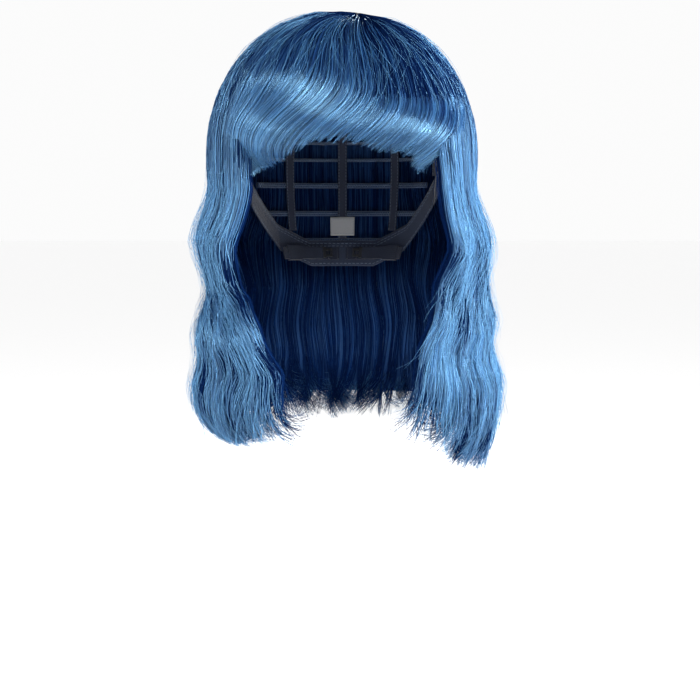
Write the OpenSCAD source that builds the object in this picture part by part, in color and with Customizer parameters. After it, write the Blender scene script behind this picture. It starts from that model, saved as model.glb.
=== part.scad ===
// Costume wig: a machine-wefted stretch cap with a fringe, two side curtains and back hair.
// Millimetres. +Z up, the face opening looks along -Y, +X is the wearer's left.
// The origin is the centre of the head cavity, at the level of the ears.

/* [Head] */
// Half of the head's breadth at ear level
head_a = 76; // [74:1:80]
// Half of the head's length at ear level
head_b = 96; // [94:1:100]
// Height of the crown above ear level
head_c = 88; // [84:1:94]

/* [Cap] */
// Width of the folded edge band, as an angle up the head
band_rise = 8; // [6:1:9]
// Width of one rib, as an angle round the head
rib_width = 5; // [3:1:7]
// Height of one weft track, as an angle up the head
track_rise = 1.6; // [1:0.2:2.4]
// Distance between neighbouring weft tracks, as an angle up the head
track_pitch = 8; // [7:1:8]

/* [Adjuster] */
// Width of the adjuster strap
strap_w = 9; // [7:1:10]
// Distance from one pocket of the hook tape to the next, as an angle round the nape
pocket_pitch = 7.3; // [6:0.1:8]

/* [Hair] */
// Thickness of the hair over the cap
hair_t = 13; // [10:1:15]
// Level where the wearer's left curtain ends
left_end = -218; // [-240:1:-200]
// Level where the wearer's right curtain ends
right_end = -192; // [-220:1:-180]
// Level where the back hair ends
back_end = -184; // [-210:1:-170]

/* [Hidden] */

// The head narrows slowly below ear level, as if it were this tall
head_c_low = 150;

// Distances from the scalp of the cap's layers, innermost first: [inside, outside]
lining_layer = [0.2, 0.6];
label_layer = [0.3, 0.7];
cap_layer = [1.0, 1.6];
tab_layer = [0.8, 2.0];
stay_layer = [1.2, 1.6];
track_layer = [1.9, 3.4];
hair_clear = 4.8;

// Gaps between neighbouring pieces of the cap, as an angle
seam = 0.5;

// Edge of the cap: angle up the head against angle round it, from the front to the back
cap_edge = [[0, 33], [30, 30], [50, 16], [62, 0], [75, -10], [86, -2], [100, 0],
            [120, -12], [140, -25], [160, -30], [180, -30]];
tab_from = 65;
tab_to = 85;
tab_top = 1.5;
band_over_tab = 2;
side_band_from = 87;
nape_from = 120;

// Crown: the patch at the top, the net round it, and where the ribs start
patch_el = 70;
net_el = 46;
net_front_el = 42;

// Ribs stand at these angles round the head
rib_az = [90, 120, 150, 180, 210, 240, 270];

// Weft tracks: the first row's angle up the head, and the front end of each row
track_top = 42;
track_front = [8, 38, 46, 52, 58, 92, 128, 132, 140];

// Level that the curtains and the back hair hang from, and how far their outer edge is cut back
// below it, so that they lift without meeting the crown hair
hang_z = 8;
hang_bevel = 8;
crown_el = 6;
fringe_az = 48;
fringe_bevel = 10;
back_from = 126;
back_split = 162;

// Adjuster: the nape is close to a circle about this upright axis, at this level and slope
nape_y = 32;
nape_r = 55;
nape_z = -66;
nape_slope = 18;

// Outline of the hanging hair: how far it stands out from the head at each level
left_swell = [[-222, 26], [-190, 30], [-155, 33], [-125, 29], [-90, 27], [-55, 26], [-20, 19.5], [8, 18]];
right_swell = [[-222, 20], [-190, 22], [-155, 28], [-125, 25], [-90, 19], [-55, 24], [-20, 19.5], [8, 18]];
front_swell = [[-222, -28], [-190, -27], [-155, -20], [-125, -12], [-90, -3], [-55, 9], [-20, 17], [8, 18]];
back_swell = [[-222, 10], [-190, 10], [-155, 10], [-125, 11], [-90, 13], [-55, 16], [-20, 18], [8, 18]];

// Front edge of each side curtain: angle round the head at each level
left_edge = [[-222, 38], [-190, 31], [-165, 32], [-125, 36], [-97, 42], [-60, 52], [-27, 55], [8, 50]];
right_edge = [[-222, 36], [-190, 33], [-146, 30], [-125, 36], [-87, 56], [-50, 53], [-20, 50], [8, 50]];

// Top and hem of the fringe: angle up the head against angle round it. The top is the same on both
// sides, and it is lower there so that the fringe's corners clear the cap as it lifts.
fringe_top = [[0, 33], [20, 32], [48, 25]];
fringe_hem = [[-48, -1.5], [-28, 0], [-18, 5], [-8, 7.5], [5, 6.5],
              [16, 2.5], [25, 3.5], [40, 0.5], [48, -2]];

cap_colour = "#1c2a44";
tape_colour = "#222f4a";
skin_colour = "#c9a48c";
metal_colour = "#9aa0a6";
hair_colour = "#2f5f96";
hair_dark = "#1f4372";

// ---------------------------------------------------------------- surfaces

// A point on the head: az is round from the front towards +X, el is up, o is out from the scalp
function scalp(az, el, o) = [
    (head_a + o) * cos(el) * sin(az),
    -(head_b + o) * cos(el) * cos(az),
    (el >= 0 ? head_c + o : head_c_low) * sin(el)
];

// The cap's edge is the same on both sides of the face
function from_front(az) = az > 180 ? 360 - az : abs(az);
function edge_el(az) = lookup(from_front(az), cap_edge);

// Where the hanging hair stands at a level: t is how deep inside its outer face
function fall(az, z, t, side_swell) = let (
    x_axis = head_a + lookup(z, side_swell) - t,
    y_axis = head_b + lookup(z, cos(az) > 0 ? front_swell : back_swell) - t
) [x_axis * sin(az), -y_axis * cos(az), z];

// How far the crown hair stands out from the scalp
function crown_swell(el) = 14.5 + 3.5 * cos(el) + 2.5 * sin(2 * el);

function quad(a, b, c, d) = [[a, b, c], [a, c, d]];
function flat(lists) = [for (l = lists) for (item = l) item];

// A closed sheet between two equal grids of points. Rows run down and columns run towards +az.
module sheet(outer, inner) {
    rows = len(outer) - 1;
    cols = len(outer[0]) - 1;
    layer = (rows + 1) * (cols + 1);
    function out(j, i) = j * (cols + 1) + i;
    function in(j, i) = layer + out(j, i);
    faces = flat(concat(
        [for (j = [0:rows - 1]) for (i = [0:cols - 1])
            quad(out(j, i), out(j, i + 1), out(j + 1, i + 1), out(j + 1, i))],
        [for (j = [0:rows - 1]) for (i = [0:cols - 1])
            quad(in(j, i), in(j + 1, i), in(j + 1, i + 1), in(j, i + 1))],
        [for (i = [0:cols - 1]) quad(out(0, i + 1), out(0, i), in(0, i), in(0, i + 1))],
        [for (i = [0:cols - 1]) quad(out(rows, i), out(rows, i + 1), in(rows, i + 1), in(rows, i))],
        [for (j = [0:rows - 1]) quad(out(j, 0), out(j + 1, 0), in(j + 1, 0), in(j, 0))],
        [for (j = [0:rows - 1]) quad(out(j + 1, cols), out(j, cols), in(j, cols), in(j + 1, cols))]
    ));
    polyhedron(concat(flat(outer), flat(inner)), faces, convexity = 8);
}

// A closed dome between two rings of rows that start below a pole. Columns close on themselves.
module dome(outer, inner, outer_pole, inner_pole) {
    rows = len(outer) - 1;
    cols = len(outer[0]);
    layer = (rows + 1) * cols;
    function out(j, i) = j * cols + i % cols;
    function in(j, i) = layer + out(j, i);
    faces = concat(
        [for (i = [0:cols - 1]) [2 * layer, out(0, i + 1), out(0, i)]],
        [for (i = [0:cols - 1]) [2 * layer + 1, in(0, i), in(0, i + 1)]],
        flat([for (j = [0:rows - 1]) for (i = [0:cols - 1])
            quad(out(j, i), out(j, i + 1), out(j + 1, i + 1), out(j + 1, i))]),
        flat([for (j = [0:rows - 1]) for (i = [0:cols - 1])
            quad(in(j, i), in(j + 1, i), in(j + 1, i + 1), in(j, i + 1))]),
        flat([for (i = [0:cols - 1]) quad(out(rows, i), out(rows, i + 1), in(rows, i + 1), in(rows, i))])
    );
    polyhedron(concat(flat(outer), flat(inner), [outer_pole, inner_pole]), faces, convexity = 8);
}

// A piece of the cap between two azimuths, whose top and bottom are functions of the azimuth
module cap_strip(az0, az1, top, bottom, layer, cols = 12, rows = 1) {
    grid = function (o) [for (j = [0:rows]) [for (i = [0:cols])
        let (az = az0 + (az1 - az0) * i / cols)
        scalp(az, top(az) + (bottom(az) - top(az)) * j / rows, o)]];
    sheet(grid(layer[1]), grid(layer[0]));
}

// A dome on the head from the pole down to a lowest angle, which is a function of the azimuth
module cap_dome(azimuths, top_el, bottom, outside, inside, rows) {
    grid = function (o) [for (j = [0:rows]) [for (az = azimuths)
        let (el = top_el + (bottom(az) - top_el) * j / rows) scalp(az, el, o(el))]];
    dome(grid(outside), grid(inside), scalp(0, 90, outside(90)), scalp(0, 90, inside(90)));
}

// ---------------------------------------------------------------- crown of the cap

round_about = [for (az = [0:10:350]) az];

module crown_patch() {
    color(skin_colour)
        cap_dome(round_about, 84, function (az) patch_el + 1, function (el) cap_layer[1],
                 function (el) cap_layer[0], 2);
}

// The net is a ring: it is open at the patch and ends at the ribs
module crown_net() {
    gap = 0.25;
    color(cap_colour)
        for (side = [0, 180])
            cap_strip(side + gap, side + 180 - gap, function (az) patch_el,
                      function (az) from_front(az) < 50 ? net_front_el : net_el, cap_layer, 18, 3);
}

// ---------------------------------------------------------------- edge bands

function band_edge(az) = from_front(az) > tab_from - 4 && from_front(az) < side_band_from
    ? band_over_tab : edge_el(az);

module forehead_band() {
    color(tape_colour)
        cap_strip(-86.5, 86.5, function (az) band_edge(az) + band_rise, function (az) band_edge(az),
                  cap_layer, 48, 2);
}

module forehead_lining() {
    color(skin_colour)
        cap_strip(-58, 58, function (az) edge_el(az) + band_rise - 1, function (az) edge_el(az) + 0.5,
                  lining_layer, 36, 2);
}

// The wearer's left; the right one is its mirror
module side_band() {
    color(tape_colour)
        cap_strip(side_band_from, nape_from - seam, function (az) edge_el(az) + band_rise,
                  function (az) edge_el(az), cap_layer, 10);
}

module nape_band() {
    color(tape_colour)
        cap_strip(nape_from, 360 - nape_from, function (az) edge_el(az) + band_rise,
                  function (az) edge_el(az), cap_layer, 28, 2);
}

module nape_label() {
    color("#d8d8d2")
        cap_strip(173, 187, function (az) -15, function (az) -20.5, label_layer, 4);
}

// ---------------------------------------------------------------- ear tabs

// Bottom of the tab: a round tongue below the band
function tab_el(az, reach) = let (u = (az - (tab_from + tab_to) / 2) / ((tab_to - tab_from) / 2))
    tab_top - reach * sqrt(max(0.02, 1 - u * u));

module ear_tab() {
    color(tape_colour)
        cap_strip(tab_from, tab_to, function (az) tab_top, function (az) tab_el(az, 12), tab_layer, 12, 2);
}

// The stay is a soft metal strip that stands upright in the tab
module tab_stay() {
    color(metal_colour)
        cap_strip(73.5, 76.5, function (az) tab_top - 1, function (az) tab_top - 10, stay_layer, 2, 3);
}

// ---------------------------------------------------------------- ribs and weft tracks

module rib(index) {
    az = rib_az[index];
    bottom = band_edge(az) + band_rise + seam;
    color(cap_colour)
        cap_strip(az - rib_width / 2, az + rib_width / 2, function (a) net_el - seam,
                  function (a) max(bottom, band_edge(a) + band_rise + seam), cap_layer, 2, 10);
}

module weft_track(index) {
    el = track_top - track_pitch * index;
    front = track_front[index];
    color(cap_colour)
        cap_strip(front, 360 - front, function (az) el + track_rise / 2, function (az) el - track_rise / 2,
                  track_layer, ceil((360 - 2 * front) / 8));
}

// ---------------------------------------------------------------- adjuster at the nape

// A band round the upright nape axis: its profile leans with the head. The angle is counted from
// the back centre towards +X, and near and far are radial distances inside the nape circle.
module nape_arc(from, to, far, near, height, shift = 0) {
    translate([0, nape_y, nape_z])
        rotate([0, 0, 90 - to])
            rotate_extrude(angle = to - from, $fn = 128)
                translate([nape_r, 0])
                    rotate(-nape_slope)
                        translate([-far, shift - height / 2])
                            square([far - near, height]);
}

// The tape with a row of pockets, stitched down by the rungs
module hook_loops() {
    tape_from = 2.5;
    color(tape_colour) {
        nape_arc(tape_from, tape_from + 3.4 * pocket_pitch, 1.1, 0.5, strap_w);
        for (k = [0:3])
            let (rung = tape_from + k * pocket_pitch + 0.4)
                nape_arc(rung, rung + 1.2, 2.0, 0.8, strap_w - 0.6);
    }
}

// The sleeve that the strap slides in, with the strap's room inside
module strap_casing() {
    wall = 0.5;
    room = 0.35;
    color(cap_colour)
        difference() {
            nape_arc(36, 50, 3.6 + room + wall, 2.6 - room - wall, strap_w + 2 * (room + wall));
            nape_arc(35, 51, 3.6 + room, 2.6 - room, strap_w + 2 * room);
        }
}

module strap() {
    color("#2b3853")
        nape_arc(16, 55, 3.6, 2.6, strap_w);
}

// A flat plastic hook at the strap's inner end: a plate that the strap meets, and a tongue
module strap_hook() {
    color(metal_colour) {
        nape_arc(13.4, 16, 4.0, 2.4, strap_w - 1);
        for (side = [-1, 1])
            nape_arc(9, 14, 3.6, 2.6, 1.4, side * 2.2);
        nape_arc(8.2, 9.6, 3.7, 2.5, 6.2);
    }
}

// ---------------------------------------------------------------- hair

crown_azimuths = concat([for (az = [-fringe_az - 1:7:fringe_az + 1]) az],
                        [for (az = [fringe_az + 2:10:310]) az]);

module crown_hair() {
    color(hair_colour)
        cap_dome(crown_azimuths, 82,
                 function (az) abs(az) <= fringe_az + 1 ? lookup(abs(az), fringe_top) + 2 : crown_el,
                 function (el) crown_swell(el), function (el) hair_clear, 8);
}

// The fringe follows the brow, draws closer to it on the way down, and its hem rolls under
module fringe_hair() {
    rows = 8;
    cols = 24;
    draw_in = [[0, 0], [0.75, 3], [0.9, 5], [1, 8]];
    grid = function (start, bevel, pull) [for (j = [0:rows]) [for (i = [0:cols])
        let (az = fringe_az * (2 * i / cols - 1), s = j / rows, top = lookup(abs(az), fringe_top) - bevel,
             el = top + (lookup(az, fringe_hem) - top) * s)
        scalp(az, el, start - pull * lookup(s, draw_in))]];
    color(hair_colour)
        sheet(grid(crown_swell(fringe_top[0][1]) - 2, fringe_bevel, 1), grid(hair_clear + 0.4, 0, 0.1));
}

// Hair that hangs from the hinge level down to its end. Its front and back edges are functions of
// the level, and it thins towards its end.
module curtain(az_front, az_back, z_end, side_swell, cols, rows, tint) {
    thin = [[0, 0], [0.7, 0], [1, 4]];
    grid = function (top, depth, pull) [for (j = [0:rows])
        let (z = top + (z_end - top) * j / rows, a0 = az_front(z), a1 = az_back(z))
        [for (i = [0:cols])
            fall(a0 + (a1 - a0) * i / cols, z, depth + pull * lookup(j / rows, thin), side_swell)]];
    color(tint)
        sheet(grid(hang_z - hang_bevel, 0, 0.3), grid(hang_z, hair_t, -0.7));
}

module left_side_hair() {
    curtain(function (z) lookup(z, left_edge), function (z) back_from - 2, left_end, left_swell,
            10, 16, hair_colour);
}

module right_side_hair() {
    mirror([1, 0, 0])
        curtain(function (z) lookup(z, right_edge), function (z) back_from - 2, right_end, right_swell,
                10, 15, hair_colour);
}

module back_left_hair() {
    curtain(function (z) back_from, function (z) back_split, back_end, left_swell, 6, 12, hair_dark);
}

module back_right_hair() {
    mirror([1, 0, 0])
        curtain(function (z) back_from, function (z) back_split, back_end, right_swell, 6, 12, hair_dark);
}

// The centre panel spans the middle of the back, so it is made of one width on both sides
module back_centre_hair() {
    curtain(function (z) back_split + 2, function (z) 358 - back_split, back_end, left_swell,
            6, 12, hair_dark);
}

// ---------------------------------------------------------------- nodes

crown_patch();
crown_net();
forehead_band();
forehead_lining();
nape_band();
nape_label();
side_band();  // left_side_band
mirror([1, 0, 0]) side_band();  // right_side_band
ear_tab();  // left_ear_tab
mirror([1, 0, 0]) ear_tab();  // right_ear_tab
tab_stay();  // left_tab_stay
mirror([1, 0, 0]) tab_stay();  // right_tab_stay
strap_casing();  // left_strap_casing
mirror([1, 0, 0]) strap_casing();  // right_strap_casing
hook_loops();  // left_hook_loops
mirror([1, 0, 0]) hook_loops();  // right_hook_loops
strap();  // left_strap
mirror([1, 0, 0]) strap();  // right_strap
strap_hook();  // left_strap_hook
mirror([1, 0, 0]) strap_hook();  // right_strap_hook
rib(0);  // rib_1
rib(1);  // rib_2
rib(2);  // rib_3
rib(3);  // rib_4
rib(4);  // rib_5
rib(5);  // rib_6
rib(6);  // rib_7
weft_track(0);  // weft_track_1
weft_track(1);  // weft_track_2
weft_track(2);  // weft_track_3
weft_track(3);  // weft_track_4
weft_track(4);  // weft_track_5
weft_track(5);  // weft_track_6
weft_track(6);  // weft_track_7
weft_track(7);  // weft_track_8
weft_track(8);  // weft_track_9
crown_hair();
fringe_hair();
left_side_hair();
right_side_hair();
back_left_hair();
back_centre_hair();
back_right_hair();
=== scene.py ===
"""A blue costume wig: loose synthetic fibre over a machine-wefted stretch cap.

Everything is in metres in the CAD frame: +Z up, the face opening looks along -Y, +X is the wearer's
left. The hair is made in wig coordinates: an azimuth round the head from the front towards +X, a path
down the outside of the hair from the crown, and a depth below that outside, in millimetres.
"""

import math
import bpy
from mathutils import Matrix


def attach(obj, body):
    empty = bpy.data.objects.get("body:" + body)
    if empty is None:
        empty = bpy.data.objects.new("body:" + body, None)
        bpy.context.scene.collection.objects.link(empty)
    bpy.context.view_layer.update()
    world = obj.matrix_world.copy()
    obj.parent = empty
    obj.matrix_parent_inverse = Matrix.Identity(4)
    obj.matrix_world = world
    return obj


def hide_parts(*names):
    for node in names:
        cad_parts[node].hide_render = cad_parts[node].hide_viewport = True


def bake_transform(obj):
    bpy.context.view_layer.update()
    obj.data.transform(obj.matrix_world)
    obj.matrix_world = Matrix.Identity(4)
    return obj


bl_info = {
    "name": "Costume wig",
    "version": (1, 0, 0),
    "blender": (4, 5, 0),
    "location": "View3D > Sidebar > Wig",
    "description": "Builds a costume wig's fibre, wefted cap, fittings and studio",
    "category": "Object",
}

import bpy
import numpy as np
from bpy.props import FloatProperty, FloatVectorProperty, IntProperty, PointerProperty
from mathutils import Vector

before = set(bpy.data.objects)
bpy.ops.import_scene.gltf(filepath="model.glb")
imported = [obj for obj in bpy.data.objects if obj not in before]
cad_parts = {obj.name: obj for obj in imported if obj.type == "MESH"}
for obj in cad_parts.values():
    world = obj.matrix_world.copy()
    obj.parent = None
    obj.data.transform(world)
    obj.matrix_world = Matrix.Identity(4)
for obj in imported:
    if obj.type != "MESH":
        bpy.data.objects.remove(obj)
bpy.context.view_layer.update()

MM = 0.001

# ---------------------------------------------------------------- the head and the hair's outline

# Half-axes of the head, and the height that its narrowing below the ears follows
HEAD_A, HEAD_B, HEAD_C, HEAD_C_LOW = 76.0, 96.0, 88.0, 150.0
# The hair's path from the whorl to ear level, along the outside
CROWN_PATH = 154.0
# How far the whorl sits in front of the crown's highest point, and towards the wearer's left
WHORL_FORWARD, WHORL_SIDE = 16.0, 10.0
# Level of the weft rows that the curtains swing from
HANG_LEVEL = 8.0

# How far the hair stands out from the head at each level below the ears: (level, distance)
LEFT_SWELL = [(-222, 27), (-190, 31), (-155, 33), (-125, 29), (-90, 27), (-55, 25), (-20, 19), (0, 18)]
RIGHT_SWELL = [(-222, 17), (-190, 20), (-155, 28), (-125, 25), (-90, 18), (-55, 24), (-20, 19), (0, 18)]
FRONT_SWELL = [(-222, -28), (-190, -27), (-155, -20), (-125, -12), (-90, -3), (-55, 9), (-20, 17), (0, 18)]
BACK_SWELL = [(-222, 10), (-190, 10), (-155, 10), (-125, 11), (-90, 13), (-55, 16), (-20, 18), (0, 18)]

# Soft waves set into the fibre, out from that outline: (level, distance)
LEFT_BILLOW = [(-222, 0), (-196, -1), (-172, 1), (-157, 2.6), (-131, -2.6), (-117, 2.6), (-88, -2.6),
               (-57, 2.6), (-26, -2.4), (0, 0)]
RIGHT_BILLOW = [(-222, 0), (-186, -2), (-168, 2.6), (-142, -2.4), (-120, 2.2), (-92, -1.6), (-57, 2.4),
                (-25, -2.2), (0, 0)]
BACK_BILLOW = [(-222, 0), (-176, 2), (-150, -2.2), (-122, 2.2), (-95, -2.2), (-64, 2.2), (-34, -2), (0, 0)]
# Share of the curtains' own waves that is used
SIDE_BILLOW = 0.75

# Front edge of each curtain: (level, azimuth)
LEFT_EDGE = [(-222, 38), (-190, 31), (-165, 32), (-125, 36), (-97, 42), (-60, 52), (-27, 55), (8, 50)]
RIGHT_EDGE = [(-222, 36), (-190, 33), (-146, 30), (-125, 36), (-87, 56), (-50, 53), (-20, 50), (8, 50)]

# Hem of the fringe: (azimuth, level)
FRINGE_HEM = [(-56, -8), (-48, -5), (-38, -3), (-28, 0), (-22, 6), (-16, 11), (-8, 13), (5, 11),
              (16, 6), (25, 6), (33, 5), (40, 1), (48, -5), (56, -9)]

# Azimuths of a curtain's roots, and of the seams between the back's three panels
SIDE_FROM, SIDE_TO = 49.0, 125.0
BACK_SPLIT = 163.0

# Where the cut ends lie: (share of the width, level)
LEFT_ENDS = [(0, -190), (0.15, -198), (0.32, -215), (1, -216)]
RIGHT_ENDS = [(0, -198), (0.3, -203), (1, -203)]
BACK_ENDS = [(0, -188), (1, -188)]
# How far above the curtains' cut their massed fibre stops, and the level where the back's stops
CURTAIN_FIBRE_SHORT, BACK_FIBRE_END = 31, -168

# Bands of painted highlight and painted shade along each curtain: (level, reach, change of shade)
LEFT_PAINTED_LIGHT_BANDS = ((-25, 22, 0.22), (-100, 15, -0.2), (-142, 17, 0.24), (-195, 16, -0.1))
RIGHT_PAINTED_LIGHT_BANDS = ((-40, 16, 0.12), (-82, 17, -0.34), (-112, 12, 0.08), (-140, 16, -0.14))

# Widths of a curtain's broad and fine locks in degrees, and the share of a strand where the fine ones start
BROAD_LOCK, FINE_LOCK, FINE_FROM = 8.0, 3.2, 0.6
# Depths below the hair's outside: its strands, the massed fibre under them, and the strands inside it
OUTER_LAY, MASSED, INNER_LAY = (-0.2, 3.8), (3.8, 11.8), (10.5, 13.2)
# Paths at which the crown's roots end, where the hanging fibre starts, and where its inner strands start
LAST_ROOT, HANG_PATH, INNER_ROOTS = 138, 134.0, (118, 190)


def smooth(x):
    x = np.clip(x, 0.0, 1.0)
    return x * x * (3 - 2 * x)


def along(points, x):
    """Value at x of a line through points, which may be listed in any order."""
    points = sorted(points)
    return np.interp(x, [p[0] for p in points], [p[1] for p in points])


def along_softly(points, x):
    """The same, but level at each point, so that crests and troughs are round."""
    points = sorted(points)
    at = np.array([p[0] for p in points], float)
    value = np.array([p[1] for p in points], float)
    k = np.clip(np.searchsorted(at, x, side="right") - 1, 0, len(at) - 2)
    part = smooth((x - at[k]) / (at[k + 1] - at[k]))
    return value[k] + (value[k + 1] - value[k]) * part


def crown_swell(el):
    e = np.radians(el)
    return 14.5 + 3.5 * np.cos(e) + 2.5 * np.sin(2 * e)


def level_of(path):
    """Level below which the path down the hair has come, once past ear level."""
    return CROWN_PATH - path


def on_hair(az, path, deep):
    """Points in millimetres at an azimuth, a path down the hair and a depth below its outside."""
    az, path, deep = np.broadcast_arrays(az, path, deep)
    a = np.radians(az)
    el = np.clip(90 * (1 - path / CROWN_PATH), 0, 90)
    e = np.radians(el)
    swell = crown_swell(el) - deep
    x = (HEAD_A + swell) * np.cos(e) * np.sin(a)
    y = -(HEAD_B + swell) * np.cos(e) * np.cos(a)
    y = y - WHORL_FORWARD * smooth((el - 35) / 55)
    x = x + WHORL_SIDE * smooth((el - 50) / 40)
    inside = 1 - (x / (HEAD_A + swell)) ** 2 - (y / (HEAD_B + swell)) ** 2
    z = (HEAD_C + swell) * np.sqrt(np.clip(inside, 0, 1))

    level = np.minimum(level_of(path), 0)
    side = np.where(np.sin(a) > 0, along(LEFT_SWELL, level), along(RIGHT_SWELL, level))
    middle = 0.5 * (along(LEFT_SWELL, level) + along(RIGHT_SWELL, level))
    side = middle + (side - middle) * smooth(np.abs(np.sin(a)) * 2)
    ends = np.where(np.cos(a) > 0, along(FRONT_SWELL, level), along(BACK_SWELL, level))
    low = level < 0
    drift = level + 5 * np.sin(0.11 * az + 1) + 3 * np.sin(0.29 * az)
    flank = smooth(np.abs(np.sin(a)) * 1.6 - 0.35)
    sides = np.where(np.sin(a) > 0, along_softly(LEFT_BILLOW, drift), along_softly(RIGHT_BILLOW, drift))
    billow = SIDE_BILLOW * sides * flank
    billow = (billow + along_softly(BACK_BILLOW, drift) * (1 - flank)) * smooth(-level / 15)
    lock = 1.2 * np.sin(0.53 * az + 0.9 * np.sin(level / 41))
    lock = lock + 0.5 * np.sin(1.27 * az + 1.3 * np.sin(level / 27 + 1))
    billow = billow + lock * smooth((-10 - level) / 60)
    x = np.where(low, (HEAD_A + side + billow - deep) * np.sin(a), x)
    y = np.where(low, -(HEAD_B + ends + billow - deep) * np.cos(a), y)
    z = np.where(low, level, z)
    return np.stack([x, y, z], -1)


def on_scalp(az, el, out):
    """Points in millimetres at an azimuth, an angle up the head and a distance out from the scalp."""
    az, el, out = np.broadcast_arrays(np.asarray(az, float), np.asarray(el, float), np.asarray(out, float))
    a, e = np.radians(az), np.radians(el)
    z = np.where(el >= 0, HEAD_C + out, HEAD_C_LOW) * np.sin(e)
    return np.stack([(HEAD_A + out) * np.cos(e) * np.sin(a), -(HEAD_B + out) * np.cos(e) * np.cos(a), z], -1)


# ---------------------------------------------------------------- meshes and materials


def make_mesh(name, verts, faces, smooth_shade=True):
    """A mesh object from vertices in millimetres and faces, all with the same number of corners."""
    faces = np.asarray(faces, np.int32)
    mesh = bpy.data.meshes.new(name)
    mesh.vertices.add(len(verts))
    mesh.vertices.foreach_set("co", (np.asarray(verts, np.float32) * MM).ravel())
    mesh.loops.add(faces.size)
    mesh.loops.foreach_set("vertex_index", faces.ravel())
    mesh.polygons.add(len(faces))
    mesh.polygons.foreach_set("loop_start", np.arange(0, faces.size, faces.shape[1], dtype=np.int32))
    mesh.polygons.foreach_set("use_smooth", np.full(len(faces), smooth_shade))
    mesh.update(calc_edges=True)
    obj = bpy.data.objects.new(name, mesh)
    bpy.context.scene.collection.objects.link(obj)
    return obj


def set_material(obj, material):
    obj.data.materials.clear()
    obj.data.materials.append(material)


def node(material, kind, **inputs):
    """A shader node with its inputs set by name, where _ stands for a space."""
    made = material.node_tree.nodes.new(kind)
    for key, value in inputs.items():
        made.inputs[key.replace("_", " ")].default_value = value
    return made


def new_material(name, **finish):
    """A Principled material whose uniform values sit on the shader's own sockets."""
    material = bpy.data.materials.new(name)
    material.use_nodes = True
    shader = material.node_tree.nodes["Principled BSDF"]
    for key, value in finish.items():
        shader.inputs[key.replace("_", " ")].default_value = value
    return material, shader


def ramp(material, stops):
    made = material.node_tree.nodes.new("ShaderNodeValToRGB")
    elements = made.color_ramp.elements
    while len(elements) < len(stops):
        elements.new(0.5)
    for element, (at, colour) in zip(elements, stops):
        element.position = at
        element.color = (*colour, 1)
    return made


def link(material, out_node, out_name, in_node, in_name):
    material.node_tree.links.new(out_node.outputs[out_name], in_node.inputs[in_name])


# ---------------------------------------------------------------- materials of the fibre


def attribute(material, name):
    made = material.node_tree.nodes.new("ShaderNodeAttribute")
    made.attribute_name = name
    return made


def math_node(material, operation, a, b=0.0, c=0.0):
    """A Math node whose inputs are numbers or (node, output) pairs."""
    made = material.node_tree.nodes.new("ShaderNodeMath")
    made.operation = operation
    for index, value in enumerate((a, b, c)):
        if isinstance(value, tuple):
            link(material, value[0], value[1], made, index)
        else:
            made.inputs[index].default_value = value
    return made


def fibre_material(name, shades, tint, streaked, gloss, roughness):
    """Glossy modacrylic fibre. Each strand has its own shade, and massed fibre is streaked lengthwise."""
    material, shader = new_material(
        name, Roughness=roughness, IOR=2.2, Specular_IOR_Level=gloss, Specular_Tint=(*tint, 1))
    patches = node(material, "ShaderNodeTexNoise", Scale=42.0, Detail=2.0, Roughness=0.5)
    link(material, node(material, "ShaderNodeTexCoord"), "Object", patches, "Vector")
    mix = math_node(material, "MULTIPLY_ADD", (patches, "Fac"), 0.35, (attribute(material, "strand"), "Fac"))
    if streaked:
        where = node(material, "ShaderNodeCombineXYZ")
        for layer, stretch, axis in (("across", 3.1, "X"), ("along", 0.035, "Y")):
            place = math_node(material, "MULTIPLY", (attribute(material, layer), "Fac"), stretch)
            link(material, place, "Value", where, axis)
        streaks = node(material, "ShaderNodeTexNoise", Scale=1.0, Detail=4.0, Roughness=0.65)
        link(material, where, "Vector", streaks, "Vector")
        mix = math_node(material, "MULTIPLY_ADD", (streaks, "Fac"), 0.5, (mix, "Value"))
        bump = node(material, "ShaderNodeBump", Strength=0.8, Distance=0.0009)
        link(material, streaks, "Fac", bump, "Height")
        link(material, bump, "Normal", shader, "Normal")
    colours = ramp(material, list(zip((0.15, 0.6, 1.0), shades)))
    link(material, mix, "Value", colours, "Fac")
    link(material, colours, "Color", shader, "Base Color")
    return material


# ---------------------------------------------------------------- strands


def ripple(x, seed, waves=5, low=1.0, high=6.0):
    """A smooth, repeatable unevenness of x, between about -1 and 1."""
    rng = np.random.default_rng(seed)
    total = np.zeros_like(np.asarray(x, float))
    for _ in range(waves):
        total = total + rng.uniform(0.4, 1) * np.sin(rng.uniform(low, high) * x + rng.uniform(0, 2 * np.pi))
    return total / (0.55 * waves)


def outward_of(points):
    out = points * np.array([1 / HEAD_A**2, 1 / HEAD_B**2, 0.3 / HEAD_C**2])
    return out / (np.linalg.norm(out, axis=-1, keepdims=True) + 1e-9)


def tubes(points, radius, sides=3):
    """Walls of tubes round centre lines: points is (strands, rings, 3) and radius (strands, rings)."""
    count, rings = points.shape[:2]
    tangent = np.gradient(points, axis=1)
    tangent /= np.linalg.norm(tangent, axis=-1, keepdims=True) + 1e-9
    outward = outward_of(points)
    outward -= tangent * np.sum(outward * tangent, -1, keepdims=True)
    outward /= np.linalg.norm(outward, axis=-1, keepdims=True) + 1e-9
    across = np.cross(tangent, outward)
    corner = np.radians(90 + 360 / sides * np.arange(sides))
    ring = np.sin(corner)[:, None] * outward[:, :, None, :] + np.cos(corner)[:, None] * across[:, :, None, :]
    verts = points[:, :, None, :] + radius[:, :, None, None] * ring
    first = (np.arange(count)[:, None, None] * rings + np.arange(rings - 1)[None, :, None]) * sides
    k = np.arange(sides)[None, None, :]
    a, b = first + k, first + (k + 1) % sides
    walls = np.stack([a, a + sides, b + sides, b], -1).reshape(-1, 4)
    return verts.reshape(-1, 3), walls


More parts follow.
